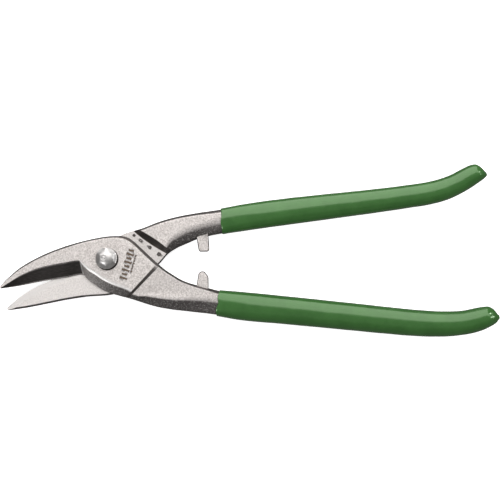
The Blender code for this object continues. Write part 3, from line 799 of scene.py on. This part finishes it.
NUT_HALF_ACROSS = 6.5
NUT_CHAMFER_RADIUS = 6.25
NUT_CHAMFER_SLOPE = math.tan(math.radians(32))
NUT_CHAMFER_HEIGHT = 0.9  # the rings are closer here
NUT_SUNK = 0.02  # the nut reaches this far past its box, towards the washer


def hexagon_nut():
    """A thin hexagon nut, its corners turned off at both faces, with a countersunk bore."""
    angles = full_turn(180)
    sides = len(angles)
    from_flat = (angles + math.pi / 6) % (math.pi / 3) - math.pi / 6
    flat = NUT_HALF_ACROSS / np.cos(from_flat)
    low, high = NUT_LOW, NUT_HIGH + NUT_SUNK
    top_chamfer = high - low - NUT_CHAMFER_HEIGHT
    levels = np.concatenate([
        np.linspace(0, NUT_CHAMFER_HEIGHT, 8),
        np.linspace(NUT_CHAMFER_HEIGHT, top_chamfer, 6)[1:-1],
        np.linspace(top_chamfer, high - low, 8),
    ])
    rings = []
    for level in levels[::-1]:
        from_face = min(level, high - low - level)
        r = np.minimum(flat, NUT_CHAMFER_RADIUS + from_face / NUT_CHAMFER_SLOPE)
        rings.append(np.stack([r * np.cos(angles), r * np.sin(angles), np.full(sides, low + level)], axis=1))
    rings += turned([(6.0, low), (4.75, low), (4.08, low + 0.6), (4.02, low + 0.8), (4.02, high - 0.8),
                     (4.08, high - 0.6), (4.75, high), (6.0, high)], angles)
    faces = grid_faces(len(rings), sides)
    last = (len(rings) - 1) * sides
    for j in range(sides):
        k = (j + 1) % sides
        faces.append([j, k, last + k, last + j])
    return solid("hexagon_pivot_nut", np.concatenate(rings), faces, sharp_degrees=25.0)


WASHER_BORE_RADIUS = 4.25
WASHER_HALF_SLIT = math.radians(4.5)
WASHER_RISE = 0.16  # from one end of the split ring to the other
WASHER_EDGE_RADIUS = 0.22


def split_washer():
    """A flattened split ring of square section. Its two ends stand a little apart in height."""
    angles = np.linspace(WASHER_HALF_SLIT, 2 * math.pi - WASHER_HALF_SLIT, 120)
    low, high = NUT_HIGH + SEAT_GAP, REAR_FACE - SEAT_GAP
    thickness = high - low - WASHER_RISE
    corners = np.array([(WASHER_BORE_RADIUS, 0.0), (WASHER_RADIUS, 0.0), (WASHER_RADIUS, thickness),
                        (WASHER_BORE_RADIUS, thickness)])
    section, _ = rounded(corners, np.full(4, WASHER_EDGE_RADIUS), (3, 3, 3, 3))
    rings = []
    for i, a in enumerate(angles):
        level = low + WASHER_RISE * i / (len(angles) - 1)
        rings.append(np.array([(r * math.cos(a), r * math.sin(a), level + z) for r, z in section]))
    return closed_grid("split_spring_washer", np.array(rings), sharp_degrees=40.0)


bolt = faceted_bolt()
nut = hexagon_nut()
washer = split_washer()


# ---- finishes

class Shade:
    """A socket of a node tree. Sums and products of values add their own Math nodes."""

    def __init__(self, tree, socket=None):
        self.tree = tree
        self.socket = socket

    def node(self, kind, inputs=None, settings=None, out=0):
        """Adds a node: its settings first, then the values or links of its inputs."""
        made = self.tree.nodes.new("ShaderNode" + kind)
        for name, value in (settings or {}).items():
            setattr(made, name, value)
        for key, value in (inputs or {}).items():
            if isinstance(value, Shade):
                self.tree.links.new(value.socket, made.inputs[key])
            else:
                made.inputs[key].default_value = value
        return Shade(self.tree, made.outputs[out])

    def _math(self, operation, first, second):
        return self.node("Math", {0: first, 1: second}, {"operation": operation})

    def __add__(self, other):
        return self._math("ADD", self, other)

    def __radd__(self, other):
        return self._math("ADD", other, self)

    def __sub__(self, other):
        return self._math("SUBTRACT", self, other)

    def __rsub__(self, other):
        return self._math("SUBTRACT", other, self)

    def __mul__(self, other):
        return self._math("MULTIPLY", self, other)

    def __rmul__(self, other):
        return self._math("MULTIPLY", other, self)

    def split(self):
        """The x, y and z of a place."""
        parts = self.node("SeparateXYZ", {0: self}).socket.node.outputs
        return [Shade(self.tree, part) for part in parts]

    def ramp(self, low, high):
        """0 below low, 1 above high, with a soft change between."""
        return self.node("MapRange", {"Value": self, "From Min": low, "From Max": high},
                         {"interpolation_type": "SMOOTHSTEP"})

    def between(self, low, risen, falling, high):
        """1 from risen to falling, and 0 below low and above high, all in millimetres."""
        return self.ramp(low * MM, risen * MM) * (1 - self.ramp(falling * MM, high * MM))

    def tint(self, low_colour, high_colour):
        """low_colour where the value is 0, high_colour where it is 1."""
        return self.node("Mix", {0: self, 6: low_colour, 7: high_colour},
                         {"data_type": "RGBA", "clamp_factor": True}, out=2)

    def bump(self, strength, depth_mm):
        """A normal that follows the value as a height."""
        return self.node("Bump", {"Height": self, "Strength": strength, "Distance": depth_mm * MM})

    def grain(self, size_mm, detail=3.0, roughness=0.55, squeeze=(1, 1, 1)):
        """Noise whose features are about size_mm across, in the piece's own coordinates."""
        spot = self.node("VectorMath", {0: self, 1: tuple(k / (size_mm * MM) for k in squeeze)},
                         {"operation": "MULTIPLY"})
        return self.node("TexNoise", {"Vector": spot, "Scale": 1.0, "Detail": detail, "Roughness": roughness})


def colour(r, g, b):
    return (r, g, b, 1.0)


def finish(name, paint):
    """A material whose look is what paint(spot) gives for the shader's sockets."""
    material = bpy.data.materials.new(name)
    material.use_nodes = True
    tree = material.node_tree
    spot = Shade(tree).node("TexCoord", out=3)
    shader = tree.nodes["Principled BSDF"]
    for socket, value in paint(spot).items():
        if isinstance(value, Shade):
            tree.links.new(value.socket, shader.inputs[socket])
        else:
            shader.inputs[socket].default_value = value
    return material


def mask(spot, name):
    """A mask that was laid on the mesh."""
    return spot.node("Attribute", settings={"attribute_name": name}, out=2)


def forged_steel(spot):
    """Blasted forging: pale faces, darker flanks, painted shade on the steps, dark ground bands and stamped
    marks.
    """
    ground, polish = mask(spot, "ground"), mask(spot, "polish")
    honed, wall, soot = mask(spot, "honed"), mask(spot, "wall"), mask(spot, "soot")
    x, y, height = spot.split()
    blast = spot.grain(0.6, detail=2.0)
    speck = spot.grain(0.85, detail=4.0, roughness=0.7)
    cloud = spot.grain(7.0, detail=4.0)
    scratches = spot.grain(0.35, detail=2.0, squeeze=(0.12, 1.6, 1.0))

    # A painted shadow round the bolt's head, wider on one side, stands in for the shade under the head.
    head_shadow_centre = (0.34 * MM, -0.45 * MM, FRONT_FACE * MM)
    painted_head_shadow = spot.node("VectorMath", {0: spot, 1: head_shadow_centre}, {"operation": "DISTANCE"}, out=1)
    painted_head_shadow = 1 - painted_head_shadow.ramp((HEAD_RADIUS + 0.05) * MM, (HEAD_RADIUS + 0.6) * MM)

    # The floor of the stamped marks and rings holds the dark left by forging.
    lap_level = MIDDLE - LAP
    cheek_mark = height.between(FRONT_FACE - 0.5, FRONT_FACE - 0.42, FRONT_FACE - 0.28, FRONT_FACE - 0.06)
    cheek_mark = cheek_mark * x.between(4.0, 5.0, 16.8, 17.4)
    cheek_mark = cheek_mark * y.ramp(-13.6 * MM, -13.0 * MM)
    strip_mark = height.between(lap_level - 0.6, lap_level - 0.45, lap_level - 0.28, lap_level - 0.06)
    strip_mark = strip_mark * x.between(12.5, 13.5, 30.0, 31.0)
    # The rear half's lapping face is lighter: partly its lapped finish, partly painted light where the front
    # jaw shades it.
    lapped_face_and_painted_light = height.between(lap_level - 0.1, lap_level - 0.03, lap_level + 0.03, lap_level + 0.1)

    face = speck.ramp(0.34, 0.66).tint(colour(0.48, 0.447, 0.43), colour(0.80, 0.762, 0.745))
    face = (cloud.ramp(0.35, 0.7) * 0.3).tint(face, colour(0.64, 0.612, 0.597))
    # Lighter lapping face: lapped finish plus painted light over the front jaw's shade.
    face = (lapped_face_and_painted_light * 0.45).tint(face, colour(0.86, 0.835, 0.82))
    flank = speck.ramp(0.46, 0.76).tint(colour(0.12, 0.111, 0.108), colour(0.46, 0.44, 0.43))
    band = scratches.ramp(0.3, 0.75).tint(colour(0.048, 0.044, 0.042), colour(0.092, 0.085, 0.082))
    base = wall.tint(face, flank)
    # Painted shade on the steps and steep sides.
    base = soot.tint(base, colour(0.095, 0.085, 0.080))
    # Painted shadow round the bolt's head.
    base = painted_head_shadow.tint(base, colour(0.03, 0.027, 0.026))
    base = ground.tint(base, band)
    base = (honed * 0.7).tint(base, colour(0.93, 0.905, 0.89))
    base = polish.tint(base, colour(0.95, 0.94, 0.93))
    base = (cheek_mark * 0.85).tint(base, colour(0.17, 0.125, 0.09))
    base = (strip_mark * 0.8).tint(base, colour(0.10, 0.085, 0.075))

    rough = 0.40 + speck * 0.14 + wall * 0.06 - ground * 0.12 - polish * 0.14 - honed * 0.10
    relief = blast * 0.7 + speck * (0.9 + wall * 1.6) + cloud * 0.8
    relief = relief * (1 - ground * 0.85) * (1 - polish * 0.8) + scratches * (ground * 0.25)
    bump = relief.bump(0.85, 0.08)
    return {"Base Color": base, "Roughness": rough, "Metallic": 1.0, "Normal": bump}


def plated_steel(spot):
    """Bright plating on the bolt and nut, a little cloudy with wear."""
    cloud = spot.grain(2.4, detail=4.0)
    fine = spot.grain(0.4, detail=2.0)
    base = cloud.ramp(0.3, 0.75).tint(colour(0.42, 0.412, 0.408), colour(0.64, 0.63, 0.625))
    rough = 0.29 + cloud * 0.16
    bump = (cloud + fine * 0.35).bump(0.8, 0.06)
    return {"Base Color": base, "Roughness": rough, "Metallic": 1.0, "Normal": bump}


def spring_steel(spot):
    """Dark oiled steel with fine lines round the washer."""
    cloud = spot.grain(1.8, detail=4.0)
    lines = spot.grain(0.3, detail=2.0, squeeze=(1.0, 1.0, 0.3))
    base = cloud.ramp(0.3, 0.75).tint(colour(0.10, 0.095, 0.09), colour(0.22, 0.21, 0.20))
    rough = 0.30 + cloud * 0.2
    bump = (lines * 0.5 + cloud * 0.6).bump(0.8, 0.05)
    return {"Base Color": base, "Roughness": rough, "Metallic": 1.0, "Normal": bump}


def green_vinyl(spot):
    """Dipped vinyl: glossy, with the slow unevenness of a dipped skin."""
    cloud = spot.grain(9.0, detail=3.0)
    mottle = spot.grain(1.6, detail=4.0, roughness=0.6)
    fine = spot.grain(0.5, detail=2.0)
    base = cloud.ramp(0.3, 0.7).tint(colour(0.022, 0.093, 0.015), colour(0.029, 0.112, 0.020))
    base = (mottle.ramp(0.5, 0.8) * 0.15).tint(base, colour(0.039, 0.135, 0.029))
    rough = 0.15 + mottle * 0.05 + cloud * 0.06
    bump = (cloud + mottle * 0.1 + fine * 0.03).bump(0.7, 0.1)
    return {"Base Color": base, "Roughness": rough, "Metallic": 0.0, "Normal": bump,
            "Specular IOR Level": 0.96, "Specular Tint": colour(0.74, 1.0, 0.68)}


steel = finish("blasted_forged_steel", forged_steel)
plated = finish("bright_plated_steel", plated_steel)
sprung = finish("dark_spring_steel", spring_steel)
vinyl = finish("glossy_green_vinyl", green_vinyl)

# Each piece with its body, the node that it stands for, its slot and its finish.
PIECES = [
    (front_half, "front", "front_half", "forged_steel", steel),
    (rear_half, "rear", "rear_half", "forged_steel", steel),
    (lower_grip, "front", "lower_grip", "green_vinyl", vinyl),
    (upper_grip, "rear", "upper_grip", "green_vinyl", vinyl),
    (bolt, "front", "pivot_bolt", "bright_fastener", plated),
    (nut, "front", "pivot_nut", "bright_fastener", plated),
    (washer, "front", "spring_washer", "spring_steel", sprung),
]
for piece, body, node, slot, material in PIECES:
    piece.data.materials.clear()
    piece.data.materials.append(material)
    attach(piece, body)
    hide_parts(node)


# ---- floor, light and camera

def sheet_mesh(name, points, faces, material):
    """A thin stage piece, which isn't part of the tool."""
    mesh = bpy.data.meshes.new(name)
    mesh.from_pydata(points, [], faces)
    mesh.materials.append(material)
    thing = bpy.data.objects.new(name, mesh)
    bpy.context.scene.collection.objects.link(thing)
    return thing


def floor_white(spot):
    return {"Base Color": colour(0.9, 0.9, 0.9), "Roughness": 0.9, "Emission Color": colour(1, 1, 1),
            "Emission Strength": 0.75}


def glow(name, tone, strength):
    """A material that only gives light."""
    material = bpy.data.materials.new(name)
    material.use_nodes = True
    tree = material.node_tree
    tree.nodes.remove(tree.nodes["Principled BSDF"])
    light = Shade(tree).node("Emission", {"Color": tone, "Strength": strength})
    tree.links.new(light.socket, tree.nodes["Material Output"].inputs["Surface"])
    return material


FLOOR_REACH = 3.0
FLOOR_CLEARANCE = 0.00005
SOFTBOX_STEPS = 24
SOFTBOX_WHITE = colour(1.0, 0.985, 0.97)

lowest, highest = cad_box
centre = (lowest + highest) / 2
floor_level = lowest.z - FLOOR_CLEARANCE
floor_corners = [(centre.x + across * FLOOR_REACH, centre.y + along * FLOOR_REACH, floor_level)
                 for across, along in ((-1, -1), (1, -1), (1, 1), (-1, 1))]
floor = sheet_mesh("studio_floor", floor_corners, [[0, 1, 2, 3]], finish("studio_floor_white", floor_white))
floor.visible_glossy = False
floor.visible_diffuse = False
floor.visible_shadow = False


def bent_sheet(name, low_angle, high_angle, radius, left, right, strength):
    """A sheet of light bent round the X axis. Angles are in degrees from straight up towards +Y."""
    points = []
    for i in range(SOFTBOX_STEPS + 1):
        angle = math.radians(low_angle + (high_angle - low_angle) * i / SOFTBOX_STEPS)
        y, z = centre.y + radius * math.sin(angle), radius * math.cos(angle)
        points += [(centre.x - left, y, z), (centre.x + right, y, z)]
    faces = [[2 * i, 2 * i + 1, 2 * i + 3, 2 * i + 2] for i in range(SOFTBOX_STEPS)]
    sheet = sheet_mesh(name, points, faces, glow(name + "_light", SOFTBOX_WHITE, strength))
    sheet.visible_camera = False


# One large softbox bends from high up over the far side, and a weaker sheet fills from overhead.
bent_sheet("high_softbox", 10.5, 44.0, radius=1.3, left=1.3, right=1.3, strength=2.55)
bent_sheet("far_softbox", 44.0, 100.0, radius=1.3, left=0.75, right=0.6, strength=2.7)
bent_sheet("overhead_fill", -32.0, 10.5, radius=1.35, left=1.3, right=1.3, strength=0.42)


def area_light(name, place, aim, size, power):
    """A soft lamp that points from its place to its aim."""
    lamp = bpy.data.lights.new(name, "AREA")
    lamp.shape = "RECTANGLE"
    lamp.size, lamp.size_y = size
    lamp.energy = power
    thing = bpy.data.objects.new(name, lamp)
    thing.location = place
    thing.rotation_euler = (Vector(aim) - Vector(place)).to_track_quat("-Z", "Y").to_euler()
    bpy.context.scene.collection.objects.link(thing)


# A soft light from the near left, and two small ones that leave the highlights on the grips' ends.
GRIP_AIM = (0.2, 0.0, 0.0)
SPARK_SIZE = (0.08, 0.08)
area_light("left_fill", (-0.55, -0.80, 1.08), aim=(0.0, 0.0, 0.0), size=(0.3, 0.4), power=5.0)
area_light("right_spark", (1.2, 0.10, 0.40), GRIP_AIM, SPARK_SIZE, power=1.5)
area_light("right_rear_spark", (1.09, 0.52, 0.40), GRIP_AIM, SPARK_SIZE, power=1.5)

# The room is dim, and the backdrop behind the tool is nearly white.
world = bpy.data.worlds.new("studio")
bpy.context.scene.world = world
world.use_nodes = True
world.node_tree.nodes.clear()
sky = Shade(world.node_tree)
seen = sky.node("LightPath")
room = sky.node("Background", {"Color": colour(1.0, 0.99, 0.98), "Strength": 0.25})
backdrop = sky.node("Background", {"Color": colour(1, 1, 1), "Strength": 0.95})
mixed = sky.node("MixShader", {0: seen, 1: room, 2: backdrop})
world_output = world.node_tree.nodes.new("ShaderNodeOutputWorld")
world.node_tree.links.new(mixed.socket, world_output.inputs["Surface"])

bpy.context.scene.view_settings.view_transform = "Standard"

# The camera looks straight down on the tool.
FIELD_WIDTH = 0.275
FIELD_CENTRE = (0.0787, 0.0045)
CAMERA_HEIGHT = 1.6
SENSOR_WIDTH = 36.0
camera = bpy.data.cameras.new("camera")
camera.sensor_width = SENSOR_WIDTH
camera.lens = SENSOR_WIDTH * CAMERA_HEIGHT / FIELD_WIDTH
view = bpy.data.objects.new("camera", camera)
view.location = (*FIELD_CENTRE, MIDDLE * MM + CAMERA_HEIGHT)
view.rotation_euler = (0.0, 0.0, 0.0)
bpy.context.scene.collection.objects.link(view)
bpy.context.scene.camera = view
